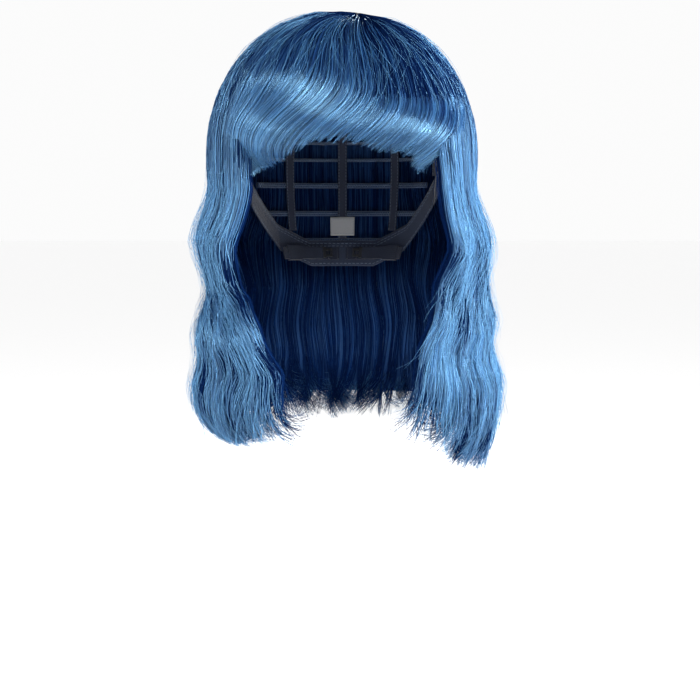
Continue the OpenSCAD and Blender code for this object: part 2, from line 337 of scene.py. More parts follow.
def store(obj, name, values):
    layer = obj.data.attributes.new(name, "FLOAT", "POINT")
    layer.data.foreach_set("value", np.asarray(values, np.float32).ravel())


def hang_on(obj, body):
    """Attaches hair whose body is the cap to the cap; for any other body it only applies the object's
    transform to its mesh.
    """
    if body == "cap":
        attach(obj, "cap")
        return
    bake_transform(obj)


def hang_massed(obj, body, cad_node):
    """Hangs a body of massed fibre in place of the CAD's plain hair."""
    hang_on(obj, body)
    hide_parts(cad_node)


class Strands:
    """Many strands with as many points each: where they run, how thick they are, their shade, the painted
    light and shade on each point, and how their ends curl."""

    def __init__(self, az, path, deep, thick, shade):
        self.az, self.path, self.deep, self.thick, self.shade = az, path, deep, thick, shade
        # painted light and shade on each point: above 0 a painted highlight, below 0 painted shade
        self.light = 0 * self.path
        self.curl = None

    def some(self, chosen):
        whole = (self.az, self.path, self.deep, self.thick, self.shade)
        part = Strands(*(values[chosen] for values in whole))
        part.light = self.light[chosen]
        if self.curl:
            turn, lean, towards = self.curl
            part.curl = (turn[chosen], lean[chosen], towards)
        return part

    def points(self):
        points = on_hair(self.az, self.path, self.deep)
        return curl_ends(points, *self.curl) if self.curl else points


# Share of a strand's points that are in its curled tip
TIP_SHARE = 0.25


def curl_ends(points, turn, lean, towards):
    """Bends the tip of each strand into an arc that turns so far, in radians. lean is how much of the turn
    goes sideways, towards +azimuth or -azimuth, and the rest goes inwards."""
    rings = points.shape[1]
    first = int(rings * (1 - TIP_SHARE))
    down = points[:, first] - points[:, first - 1]
    down /= np.linalg.norm(down, axis=-1, keepdims=True)
    out = outward_of(points[:, first])
    out[:, 2] = 0
    out /= np.linalg.norm(out, axis=-1, keepdims=True)
    side = np.cross([0, 0, 1], out) * towards
    aside = side * np.sin(lean)[:, None] - out * np.cos(lean)[:, None]
    steps = np.linalg.norm(np.diff(points[:, first:], axis=1), axis=-1)
    part = np.linspace(0, 1, rings - first)[1:]
    angle = turn[:, None] * part[None, :] ** 1.15
    heading = np.cos(angle)[..., None] * down[:, None] + np.sin(angle)[..., None] * aside[:, None]
    moves = steps[..., None] * heading
    points = points.copy()
    points[:, first + 1:] = points[:, first][:, None] + np.cumsum(moves, axis=1)
    return points


# Shades, with the painted light and shade added, below which a stretch of strand is dull fibre with
# painted shade, and above which it is bright fibre with painted highlight
DULL_BELOW, BRIGHT_ABOVE = 0.24, 0.50
# Paths from the whorl over which the dull roots end, each strand at its own
ROOTS_END, ROOTS_SPREAD = 20, 26


def strand_object(name, strands, kinds, body, context):
    """One piece of hair made of tubes. A strand's shade is stored on its points, and where kinds lists the
    three kinds of fibre, the shade with the painted light and shade added picks among them: the dull fibre
    is a darker copy for painted shade, and the bright fibre a lighter, glossier copy for painted highlight."""
    points = strands.points()
    rings = points.shape[1]
    t = np.linspace(0, 1, rings)
    taper = np.interp(t, [0, 0.1, 0.8, 1], [0.7, 1, 0.85, 0.3])
    verts, faces = tubes(points, strands.thick[:, None] * taper[None, :])
    obj = make_mesh(name, verts, faces)
    store(obj, "strand", np.repeat((strands.shade[:, None] + 0.08 * t[None, :]).ravel(), 3))
    obj.data.materials.clear()
    for kind in kinds:
        obj.data.materials.append(fibre(context, kind))
    if kinds == STRAND_KINDS:
        # the shade plus its painted light and shade picks dull fibre for painted shade and bright fibre for
        # painted highlight
        shade = strands.shade[:, None] + strands.light[:, 1:]
        kind = np.where(shade < DULL_BELOW, 1, np.where(shade > BRIGHT_ABOVE, 2, 0))
        fade = ROOTS_END + ROOTS_SPREAD * (strands.shade * 37 % 1)
        kind = np.where(strands.path[:, 1:] < fade[:, None], 1, kind)
        obj.data.polygons.foreach_set("material_index", np.repeat(kind.ravel(), 3).astype(np.int32))
    hang_on(obj, body)
    return obj


def clump(strands, rng, width, amount, start=0.3):
    """Gathers strands into locks about so many degrees wide, more and more towards their tips."""
    span = strands.az[:, -1]
    order = np.linspace(span.min(), span.max(), max(2, int((span.max() - span.min()) / width)))
    order = order + rng.uniform(-0.35, 0.35, len(order)) * width
    near = np.abs(span[:, None] - order[None, :]).argmin(1)
    t = np.linspace(0, 1, strands.az.shape[1])[None, :]
    hold = (amount * rng.uniform(0.4, 1.0, len(order)))[near][:, None]
    pull = hold * smooth((t - start) / (1 - start)) ** 1.4
    strands.az = strands.az + (order[near] - span)[:, None] * pull
    return near


# Points along one strand: over its body, and over its curled tip
BODY_POINTS, TIP_POINTS, TIP_LENGTH = 26, 8, 36.0
# Distance between points on the smooth crown and below it, and the path where the waves start
CROWN_STEP, WAVE_STEP, WAVES_FROM = 20.0, 9.0, 125.0
# How far a strand takes to rise from its root, how deep the root is, and where the whorl's shallow roots end
RISE_LENGTH, ROOT_DEPTH, WHORL_REACH = 11.0, 6.0, 45


def spaced(root, end, bend, points):
    """Paths from root to end, whose points are closer together past the path where the bends start."""
    turn = bend / CROWN_STEP
    first, last = [np.where(p < bend, p / CROWN_STEP, turn + (p - bend) / WAVE_STEP) for p in (root, end)]
    count = first[:, None] + (last - first)[:, None] * np.linspace(0, 1, points)[None, :]
    return np.where(count < turn, count * CROWN_STEP, bend + (count - turn) * WAVE_STEP)


def lay_strands(az_root, root, end, lay, flow, rng, thick,
                points=BODY_POINTS, bend=WAVES_FROM, tip=TIP_LENGTH):
    """Strands from their roots to their ends. flow gives the azimuth at each path, and lay is how deep
    each strand lies once it has come up from its root."""
    path = spaced(root, end - tip, bend, points)
    if tip:
        last = np.linspace(0, 1, TIP_POINTS + 1)[None, 1:]
        path = np.concatenate([path, (end - tip)[:, None] + tip * last], 1)
    count = len(root)
    rise = np.exp(-(path - root[:, None]) / RISE_LENGTH)
    under = (np.maximum(ROOT_DEPTH, lay) - lay) * smooth(root / WHORL_REACH)
    deep = lay[:, None] + under[:, None] * rise
    own = rng.uniform(0, 40, count)[:, None]
    deep = deep + 0.12 * ripple(path * 0.03 + own, 5)
    wander = np.minimum(1, (path - root[:, None]) / 60) * rng.normal(0, 0.45, count)[:, None]
    az = flow(az_root[:, None], path) + wander * ripple(path * 0.012 + own, 6)
    shade = 0.36 + 0.09 * ripple(az_root * 0.55, 41, 6) + 0.07 * ripple(az_root * 2.3, 42, 6)
    radius = rng.uniform(0.7, 1.3, count) * thick
    return Strands(az, path, deep, radius, shade + rng.normal(0, 0.15, count))


def crown_roots(rng, count, furthest):
    """Roots spread evenly over the crown, so that the strands are as close at every level."""
    turn = rng.uniform(0, 1, count)
    return 1.5 + np.minimum(CROWN_PATH * 2 / np.pi * np.arcsin(turn), furthest)


# ---------------------------------------------------------------- how each part of the hair falls


def wave(az, path, strength):
    """Sideways wave of the hanging hair, in degrees, growing below ear level."""
    level = level_of(path)
    grow = smooth((20 - level) / 90) * strength
    lean = 1.3 * np.sin(az * 0.07) + 0.6 * np.sin(az * 0.23 + 1)
    return grow * 1.6 * np.sin(level / 17.5 + lean)


def side_flow(edge, sign=1):
    """Flow of a curtain: its strands keep their share of the width between its edges. Roots are counted from
    the front on both sides, and a sign of -1 turns the result to the wearer's right."""

    def flow(az_root, path):
        level = level_of(path)
        share = (az_root - SIDE_FROM) / (SIDE_TO - SIDE_FROM)
        front = along(edge, np.minimum(level, HANG_LEVEL))
        front = SIDE_FROM + (front - 50) * smooth((HANG_LEVEL + 20 - level) / 30)
        az = front + share * (SIDE_TO - front)
        return sign * (az + wave(az, path, 1.0))

    return flow


def straight_flow(az_root, path):
    return az_root + 0 * path


def back_flow(az_root, path):
    return az_root + wave(az_root, path, 0.9)


# How far each part of the fringe is swept to the wearer's right at its hem: (azimuth of root, degrees)
FRINGE_SWEEP = [(-56, 4), (-45, 12), (-32, 20), (-20, 28), (-8, 32), (5, 29), (20, 23), (40, 19), (66, 17)]
# Height of the hair over the brow, which turns a level of the hem into a path
BROW_RISE = 98
# Path at which each part starts to turn: (azimuth of root, path)
FRINGE_TURN = [(-56, 84), (-20, 88), (0, 100), (20, 112), (66, 115)]


def fringe_flow(az_root, path):
    """The fringe comes straight down from the whorl, then sweeps towards the wearer's right."""
    start = along(FRINGE_TURN, az_root)
    turn = smooth((path - start) / (162 - start)) ** 1.3
    return az_root - along(FRINGE_SWEEP, az_root) * turn + 0.35 * np.sin(path / 11 + az_root * 0.35)


# ---------------------------------------------------------------- sizes and colours a user may change


class WigHair(bpy.types.PropertyGroup):
    """The fibre"""

    strand_width: FloatProperty(
        name="Strand width", description="Thickness of one bundle of fibres", default=0.45 * MM,
        min=0.2 * MM, max=1.5 * MM, subtype="DISTANCE", unit="LENGTH")
    curtain_strands: IntProperty(
        name="Curtain strands", description="Strands on the outside of each side curtain",
        default=1750, min=50)
    back_strands: IntProperty(
        name="Back strands", description="Strands on the outside of each panel of the back",
        default=780, min=50)
    fringe_strands: IntProperty(
        name="Fringe strands", description="Strands that run from the whorl to the hem", default=2600, min=50)
    stray_strands: IntProperty(
        name="Stray strands", description="Fine fibres that stand away from each part of the hair",
        default=130, min=1)
    dark: FloatVectorProperty(
        name="Dark shade", description="Colour of the darkest strands", default=(0.002, 0.009, 0.045),
        subtype="COLOR", min=0, max=1)
    mid: FloatVectorProperty(
        name="Middle shade", description="Colour of most strands", default=(0.005, 0.028, 0.120),
        subtype="COLOR", min=0, max=1)
    light: FloatVectorProperty(
        name="Light shade", description="Colour of the lightest strands", default=(0.02, 0.095, 0.27),
        subtype="COLOR", min=0, max=1)
    stray: FloatVectorProperty(
        name="Stray shade", description="Colour of the fine stray fibres", default=(0.08, 0.22, 0.42),
        subtype="COLOR", min=0, max=1)
    sheen: FloatVectorProperty(
        name="Sheen", description="Tint of the light that the fibre reflects", default=(0.35, 0.71, 1.0),
        subtype="COLOR", min=0, max=1)


class WigCap(bpy.types.PropertyGroup):
    """The cap and its fittings"""

    tape: FloatVectorProperty(
        name="Tape", description="Colour of the folded cotton tape", default=(0.040, 0.058, 0.115),
        subtype="COLOR", min=0, max=1)
    elastic: FloatVectorProperty(
        name="Elastic", description="Colour of the ribs, net and straps", default=(0.020, 0.030, 0.065),
        subtype="COLOR", min=0, max=1)
    weft: FloatVectorProperty(
        name="Weft", description="Colour of the weft tracks", default=(0.016, 0.045, 0.13),
        subtype="COLOR", min=0, max=1)
    thread: FloatVectorProperty(
        name="Thread", description="Colour of the sewing thread", default=(0.17, 0.25, 0.38),
        subtype="COLOR", min=0, max=1)
    lining: FloatVectorProperty(
        name="Lining", description="Colour of the soft lining and the crown lace", default=(0.42, 0.29, 0.21),
        subtype="COLOR", min=0, max=1)
    label: FloatVectorProperty(
        name="Label", description="Colour of the blank satin label", default=(0.44, 0.45, 0.47),
        subtype="COLOR", min=0, max=1)
    net_pitch: FloatProperty(
        name="Net pitch", description="Width of one hole of the net", default=3.2 * MM, min=1.5 * MM,
        max=8 * MM, subtype="DISTANCE", unit="LENGTH")


class WigStudio(bpy.types.PropertyGroup):
    """Camera and light"""

    camera_distance: FloatProperty(
        name="Camera distance", description="From the lens to the middle of the wig", default=1.5,
        min=0.5, max=6, subtype="DISTANCE", unit="LENGTH")
    view_width: FloatProperty(
        name="View width", description="Width of the picture at the wig", default=0.49, min=0.1, max=3,
        subtype="DISTANCE", unit="LENGTH")
    key_power: FloatProperty(
        name="Key light", description="Power of the main soft light", default=42.0, min=0, unit="POWER")


def fibre(context, kind):
    """One of the fibre's materials, made when it is first wanted."""
    found = bpy.data.materials.get(kind)
    if found:
        return found
    hair = context.scene.wig_hair
    shades, streaked, gloss, roughness = {
        "modacrylic_fibre": ((hair.dark, hair.mid, hair.light), False, 0.7, 0.3),
        # a darker, duller copy of the fibre for painted shade, and a lighter, glossier copy for painted
        # highlight; both also serve strands that are darker and lighter of their own
        "dull_fibre_painted_shade": ((hair.dark, hair.dark, hair.mid), False, 0.0, 0.5),
        "bright_fibre_painted_highlight": ((hair.mid, hair.light, hair.stray), False, 1.0, 0.27),
        "massed_fibre": ((hair.dark, hair.mid, hair.light), True, 0.12, 0.5),
        "stray_fibre": ((hair.light, hair.stray, hair.stray), False, 0.7, 0.3),
    }[kind]
    return fibre_material(kind, shades, hair.sheen, streaked, gloss, roughness)


# Outer strands: plain fibre, a darker dull copy for painted shade and a lighter glossy copy for painted
# highlight. Inner strands are all the dark copy, painted shade inside the hair.
STRAND_KINDS = ("modacrylic_fibre", "dull_fibre_painted_shade", "bright_fibre_painted_highlight")
DULL_PAINTED_SHADE = ("dull_fibre_painted_shade",)


# ---------------------------------------------------------------- operators: hair


def underlay(name, az_low, az_high, flow, path_from, end_of, deep_out, deep_in, cols, rows, context,
             extra=None):
    """A closed, grooved body of massed fibre between two depths, which the strands lie on."""
    u = np.linspace(0, 1, cols)[None, :]
    v = np.linspace(0, 1, rows)[:, None]
    az_root = az_low + (az_high - az_low) * u + 0 * v
    path = path_from + (end_of(az_root) - path_from) * v
    az = flow(az_root, path)
    groove = 0.55 * ripple(az_root * 1.9, 31, 6, 0.6, 2.4) + 0.3 * ripple(az_root * 5.1 + path * 0.03, 32)
    middle = 0.5 * (deep_out + deep_in)
    close = smooth((v - 0.82) / 0.18)
    sink = extra(az, path) if extra else 0.0
    outer = deep_out + groove + (middle - deep_out) * close + sink
    inner = deep_in - groove * 0.5 + (middle + 0.6 - deep_in) * close + sink
    verts = np.concatenate([on_hair(az, path, outer).reshape(-1, 3), on_hair(az, path, inner).reshape(-1, 3)])
    layer = rows * cols
    j, i = np.meshgrid(np.arange(rows - 1), np.arange(cols - 1), indexing="ij")
    a = (j * cols + i).ravel()
    top, left = np.arange(cols - 1), np.arange(rows - 1) * cols
    low, right = (rows - 1) * cols + top, left + cols - 1
    faces = [np.stack([a, a + cols, a + cols + 1, a + 1], -1),
             np.stack([a + layer, a + 1 + layer, a + cols + 1 + layer, a + cols + layer], -1),
             np.stack([top, top + 1, top + 1 + layer, top + layer], -1),
             np.stack([low + 1, low, low + layer, low + 1 + layer], -1),
             np.stack([left + cols, left, left + layer, left + cols + layer], -1),
             np.stack([right, right + cols, right + cols + layer, right + layer], -1)]
    obj = make_mesh(name, verts, np.concatenate(faces))
    shade = 0.02 + 0.12 * ripple(az_root * 0.7, 33, 6)
    store(obj, "strand", np.concatenate([shade.ravel(), shade.ravel()]))
    store(obj, "across", np.tile(az_root.ravel(), 2))
    store(obj, "along", np.tile(path.ravel(), 2))
    set_material(obj, fibre(context, "massed_fibre"))
    return obj


def split_by(strands, parts, key):
    """Cuts a set of strands into parts by a key, each small enough for one piece."""
    for chosen in np.array_split(np.argsort(key), parts):
        yield strands.some(chosen)


def strays(name, rng, count, az, path, flow, length, stand, body, context):
    """Fine pale fibres that have come loose and stand a little away from the rest."""
    root_az, root = rng.uniform(*az, count), rng.uniform(*path, count)
    end = root + rng.uniform(*length, count)
    t = np.linspace(0, 1, 14)[None, :]
    run = root[:, None] + (end - root)[:, None] * t
    bend = rng.normal(0, 1, count)[:, None]
    bow = np.sin(np.pi * t * rng.uniform(0.5, 1.1, count)[:, None])
    side = rng.normal(0, 6, count)[:, None] * t**1.5 + 1.5 * bend * bow
    deep = 0.6 - rng.uniform(*stand, count)[:, None] * np.sin(np.pi * np.clip(t * 0.8, 0, 1)) ** 1.2
    strands = Strands(flow(root_az[:, None], run) + side, run, deep, rng.uniform(0.07, 0.12, count),
                      rng.uniform(0.1, 0.7, count))
    return strand_object(name, strands, ("stray_fibre",), body, context)


# Paths that the crown's massed fibre reaches behind the fringe, and at the sides and back
FRONT_REACH, SIDE_REACH = 92.0, 139.0
INNER_CROWN_STRANDS = 1500


class WIG_OT_crown_hair(bpy.types.Operator):
    """The massed fibre over the crown of the cap, that the long strands lie on"""

    bl_idname = "wig.crown_hair"
    bl_label = "Crown hair"

    def execute(self, context):
        rng = np.random.default_rng(51)
        massed = underlay("crown_fibre", -180, 180, straight_flow, 0.6,
                          lambda az: np.where(np.abs(az) < SIDE_FROM, FRONT_REACH, SIDE_REACH) + 0 * az,
                          4.2, 13.4, 541, 26, context)
        hang_massed(massed, "cap", "crown_hair")
        count = INNER_CROWN_STRANDS
        az = rng.uniform(-180, 180, count)
        last = np.where(np.abs(az) < SIDE_FROM, FRONT_REACH + 4, SIDE_REACH + 1)
        inner = lay_strands(az, last - rng.uniform(40, 75, count), last - rng.uniform(0, 12, count),
                            rng.uniform(13.0, 13.8, count), straight_flow, rng, 0.4, 9, tip=0.0)
        # the crown's inner strands are all dull fibre, painted shade inside the hair
        strand_object("crown_inner", inner, DULL_PAINTED_SHADE, "cap", context)
        strays("crown_strays", rng, context.scene.wig_hair.stray_strands, (-180, 180), (20, 60),
               straight_flow, (25, 60), (0.5, 2.5), "cap", context)
        return {"FINISHED"}


def hanging(rng, az_low, az_high, roots, ends, ragged, lay, flow, thick):
    """Strands of one hanging part, from roots on the crown or under ear level to their cut ends. ends lists
    the level of the cut as (share of the part's width, level)."""
    count = len(roots)
    az = rng.uniform(az_low, az_high, count)
    cut = along(ends, (az - az_low) / (az_high - az_low))
    end = CROWN_PATH - cut - np.abs(rng.normal(0, 1, count)) * ragged + 0.4 * ragged
    return lay_strands(az, roots, end, rng.uniform(*lay, count), flow, rng, thick)


class WIG_OT_curtains(bpy.types.Operator):
    """The two side curtains, from the whorl to their curled ends"""

    bl_idname = "wig.curtains"
    bl_label = "Side curtains"

    def curl(self, strands, near, side, rng):
        """The wearer's right rolls under in one round end, and the left breaks into locks that curl apart."""
        count, locks = len(near), near.max() + 1
        if side == "right":
            turn = 1.35 + 0.25 * rng.normal(0, 1, locks)[near] + rng.normal(0, 0.12, count)
            lean = 0.35 * rng.normal(0, 1, locks)[near]
            strands.curl = (turn, lean, 1)
        else:
            spread = rng.uniform(-1, 1, locks)
            turn = (0.5 + 1.2 * np.abs(spread))[near] + rng.normal(0, 0.2, count)
            lean = np.where(spread > -0.2, 0.9, -0.9)[near] + rng.normal(0, 0.25, count)
            strands.curl = (turn, lean, -1)

    def fold_front_with_painted_shade(self, strands, rng):
        """Turns the front edge inwards, and darkens it with painted shade."""
        inside = SIDE_FROM + 5 - strands.az[:, 12]
        fold = smooth(inside / 7) * rng.uniform(0, 9, len(inside))
        strands.deep = strands.deep + fold[:, None]
        # painted shade on the inward-turned front edge
        strands.shade = strands.shade - 0.22 * smooth(inside / 9)

    def paint_light_bands(self, strands, bands, seed):
        """Painted light and shade: bands of painted highlight and painted shade across the curtain, with
        uneven edges, and ribbons of painted highlight and painted shade down it.
        """
        for level, reach, change in bands:
            middle = level + 9 * np.sin(strands.az * 0.19 + level) + 5 * np.sin(strands.az * 0.71)
            away = (level_of(strands.path) - middle) / reach
            strands.light = strands.light + change * np.exp(-(away**2))
        below = level_of(strands.path)
        ribbons = np.sin(0.31 * strands.az + below / 44 + seed) + 0.5 * np.sin(0.83 * strands.az - below / 30)
        strands.light = strands.light + 0.16 * ribbons * smooth(-below / 30)

    def execute(self, context):
        hair = context.scene.wig_hair
        thick = hair.strand_width / MM / 2
        for side, edge, sign, ends, ragged, bands, seed in (
                ("left", LEFT_EDGE, 1, LEFT_ENDS, 12, LEFT_PAINTED_LIGHT_BANDS, 11),
                ("right", RIGHT_EDGE, -1, RIGHT_ENDS, 8, RIGHT_PAINTED_LIGHT_BANDS, 12)):
            rng = np.random.default_rng(seed)
            body = f"{side}_curtain"
            flow, placed = side_flow(edge), side_flow(edge, sign)
            massed = underlay(f"{side}_curtain_fibre", SIDE_FROM + 1, SIDE_TO - 1, placed, HANG_PATH,
                              lambda az, e=ends: CROWN_PATH - CURTAIN_FIBRE_SHORT
                              - along(e, (az - SIDE_FROM) / (SIDE_TO - SIDE_FROM)),
                              *MASSED, 110, 44, context)
            if sign < 0:
                massed.data.flip_normals()
            hang_massed(massed, body, f"{side}_side_hair")
            count = hair.curtain_strands
            # inner strands are all dull fibre, painted shade inside the hair
            for label, roots, lay, hold, kinds, parts in (
                    ("outer", crown_roots(rng, count, LAST_ROOT), OUTER_LAY, 0.5, STRAND_KINDS, 2),
                    ("inner", rng.uniform(*INNER_ROOTS, count // 3), INNER_LAY, 0.1, DULL_PAINTED_SHADE, 1)):
                strands = hanging(rng, SIDE_FROM - 2, SIDE_TO + 2, roots, ends, ragged, lay, flow, thick)
                if label == "outer":
                    self.fold_front_with_painted_shade(strands, rng)
                # painted highlight and painted shade, in bands across the curtain and ribbons down it
                self.paint_light_bands(strands, bands, seed)
                clump(strands, rng, BROAD_LOCK, 0.35)
                near = clump(strands, rng, FINE_LOCK, hold, FINE_FROM)
                self.curl(strands, near, side, rng)
                for index, part in enumerate(split_by(strands, parts, strands.az[:, -1])):
                    part.az = part.az * sign
                    strand_object(f"{side}_curtain_{label}_{index + 1}", part, kinds, body,
                                  context)
            strays(f"{side}_curtain_strays", rng, hair.stray_strands * 3, (SIDE_FROM + 2, SIDE_TO),
                   (150, 305), placed, (40, 85), (0.5, 6.5), body, context)
            strays(f"{side}_curtain_wisps", rng, hair.stray_strands // 2, (SIDE_FROM - 1, SIDE_FROM + 9),
                   (150, 300), placed, (50, 95), (0.5, 6), body, context)
        return {"FINISHED"}


class WIG_OT_back_hair(bpy.types.Operator):
    """The three panels of the back hair"""

    bl_idname = "wig.back_hair"
    bl_label = "Back hair"

    def execute(self, context):
        hair = context.scene.wig_hair
        thick = hair.strand_width / MM / 2
        panels = (("back_left", SIDE_TO, BACK_SPLIT), ("back_centre", BACK_SPLIT, 360 - BACK_SPLIT),
                  ("back_right", 360 - BACK_SPLIT, 360 - SIDE_TO))
        for index, (body, low, high) in enumerate(panels):
            rng = np.random.default_rng(21 + index)
            massed = underlay(f"{body}_fibre", low + 0.7, high - 0.7, back_flow, HANG_PATH,
                              lambda az: CROWN_PATH - BACK_FIBRE_END + 0 * az, *MASSED, 66, 40, context)
            hang_massed(massed, body, f"{body}_hair")
            count = hair.back_strands
            # inner strands are all dull fibre, painted shade inside the hair
            for label, roots, lay, hold, kinds in (
                    ("outer", crown_roots(rng, count, LAST_ROOT), OUTER_LAY, 0.4, STRAND_KINDS),
                    ("inner", rng.uniform(*INNER_ROOTS, count // 3), INNER_LAY, 0.1, DULL_PAINTED_SHADE)):
                strands = hanging(rng, low - 1.5, high + 1.5, roots, BACK_ENDS, 7, lay, back_flow, thick)
                clump(strands, rng, 7.0, 0.3)
                near = clump(strands, rng, 3.0, hold, FINE_FROM)
                locks = near.max() + 1
                turn = (0.5 + 1.3 * rng.uniform(0, 1, locks))[near] + rng.normal(0, 0.2, len(near))
                lean = rng.uniform(-1.4, 1.4, locks)[near]
                strands.curl = (turn, lean, 1)
                strand_object(f"{body}_{label}", strands, kinds, body, context)
            strays(f"{body}_strays", rng, hair.stray_strands, (low, high), (150, 270), back_flow, (35, 75),
                   (0.5, 4), body, context)
        return {"FINISHED"}


class WIG_OT_fringe(bpy.types.Operator):
    """The fringe, swept to one side with its hem rolled under"""

    bl_idname = "wig.fringe"
    bl_label = "Fringe"

    def hem_path(self, az):
        up = np.degrees(np.arcsin(np.clip(along(FRINGE_HEM, az) / BROW_RISE, -1, 1)))
        return CROWN_PATH * (1 - up / 90)

    def roll(self, az, path):
        """The fringe stands out a little above its hem, then rolls under."""
        bulge = 2.2 * np.exp(-((path - 132) / 10) ** 2) * smooth((60 - np.abs(az)) / 14)
        return 8.5 * np.clip((path - 136) / 15, 0, 1.6) ** 1.9 - bulge

    def light(self, az, path):
        """Painted shade over the wearer's left brow, a painted highlight on the rolled edge below it, and the
        swept side painted lighter.
        """
        left = smooth((az - 2) / 22)
        above = smooth((124 - path) / 9)
        return -0.28 * left * above + 0.12 * left * (1 - above) + 0.14 * (1 - left) * smooth((path - 96) / 20)

    def end(self, az_root):
        return self.hem_path(fringe_flow(az_root, np.full(np.shape(az_root), 150.0)))

    def execute(self, context):
        hair = context.scene.wig_hair
        thick = hair.strand_width / MM / 2
        rng = np.random.default_rng(31)
        massed = underlay("fringe_fibre", -55, 66, fringe_flow, 84.0, lambda az: self.end(az) - 8, 3.4, 9.0,
                          190, 26, context, self.roll)
        hang_massed(massed, "fringe", "fringe_hair")
        count = hair.fringe_strands
        az_root = rng.uniform(-56, 67, count)
        tufts = 2.2 * ripple(az_root * 0.45, 36, 6) + 1.2 * ripple(az_root * 1.9, 37, 6)
        end = self.end(az_root) - np.abs(rng.normal(0, 1, count)) * 4.0 + 3.0 + tufts
        root = np.minimum(crown_roots(rng, count, 118), end - 36)
        strands = lay_strands(az_root, root, end, rng.uniform(*OUTER_LAY, count), fringe_flow, rng, thick,
                              BODY_POINTS, 78.0, 0.0)
        strands.deep = strands.deep + self.roll(strands.az, strands.path)
        # painted shade and painted highlight on the fringe's strands
        strands.light = self.light(strands.az, strands.path)
        clump(strands, rng, 4.0, 0.25, 0.5)
        clump(strands, rng, 1.4, 0.45, 0.6)
        for index, part in enumerate(split_by(strands, 3, strands.az[:, -1])):
            strand_object(f"fringe_outer_{index + 1}", part, STRAND_KINDS, "fringe", context)
        strays("fringe_strays", rng, hair.stray_strands, (-50, 60), (55, 100), fringe_flow, (20, 42),
               (0.4, 2.4), "fringe", context)
        return {"FINISHED"}


# ---------------------------------------------------------------- the cap's shape

# Edge of the cap: (azimuth from the front, angle up the head)
CAP_EDGE = [(0, 33), (30, 30), (50, 16), (62, 0), (75, -10), (86, -2), (100, 0), (120, -12), (140, -25),
            (160, -30), (180, -30)]
BAND_RISE, BAND_OVER_TAB, SEAM = 8.0, 2.0, 0.5
TAB_FROM, TAB_TO, TAB_TOP, TAB_REACH = 65.0, 85.0, 1.5, 12.0
SIDE_BAND_FROM, NAPE_FROM = 87.0, 120.0
PATCH_EL, NET_EL, NET_FRONT_EL = 70.0, 46.0, 42.0
RIB_WIDTH = 5.0
TRACK_TOP, TRACK_PITCH, TRACK_RISE = 42.0, 8.0, 1.6
TRACK_FRONT = (8, 38, 46, 52, 58, 92, 128, 132, 140)
# How far a thread of the net turns round the head on its way down
THREAD_TURN = 52
# Radius that the crown patch is curved to, and the distance between its knots
PATCH_RADIUS, KNOT_PITCH = 78, 3.4
# Distances of the cap's layers from the scalp
LINING, LABEL, CAP, TAB, TRACK = (0.2, 0.6), (0.3, 0.7), (1.0, 1.6), (0.8, 2.0), (1.9, 3.4)


def from_front(az):
    az = np.asarray(az, float)
    return np.where(az > 180, 360 - az, np.abs(az))


def edge_el(az):
    return along(CAP_EDGE, from_front(az))


def band_edge(az):
    side = from_front(az)
    return np.where((side > TAB_FROM - 4) & (side < SIDE_BAND_FROM), BAND_OVER_TAB, edge_el(az))


def tab_el(az):
    middle, half = (TAB_FROM + TAB_TO) / 2, (TAB_TO - TAB_FROM) / 2
    u = (from_front(az) - middle) / half
    return TAB_TOP - TAB_REACH * np.sqrt(np.maximum(0.02, 1 - u * u))


def arc_lengths(points):
    return np.concatenate([[0], np.cumsum(np.linalg.norm(np.diff(points, axis=0), axis=-1))])


def faced_out(obj):
    """Turns a closed mesh's faces outwards."""
    mesh = obj.data
    mesh.calc_loop_triangles()
    verts = np.empty(len(mesh.vertices) * 3, np.float32)
    mesh.vertices.foreach_get("co", verts)
    corners = np.empty(len(mesh.loop_triangles) * 3, np.int32)
    mesh.loop_triangles.foreach_get("vertices", corners)
    a, b, c = verts.reshape(-1, 3)[corners.reshape(-1, 3)].transpose(1, 0, 2)
    if np.sum(a * np.cross(b, c)) < 0:
        mesh.flip_normals()
    return obj


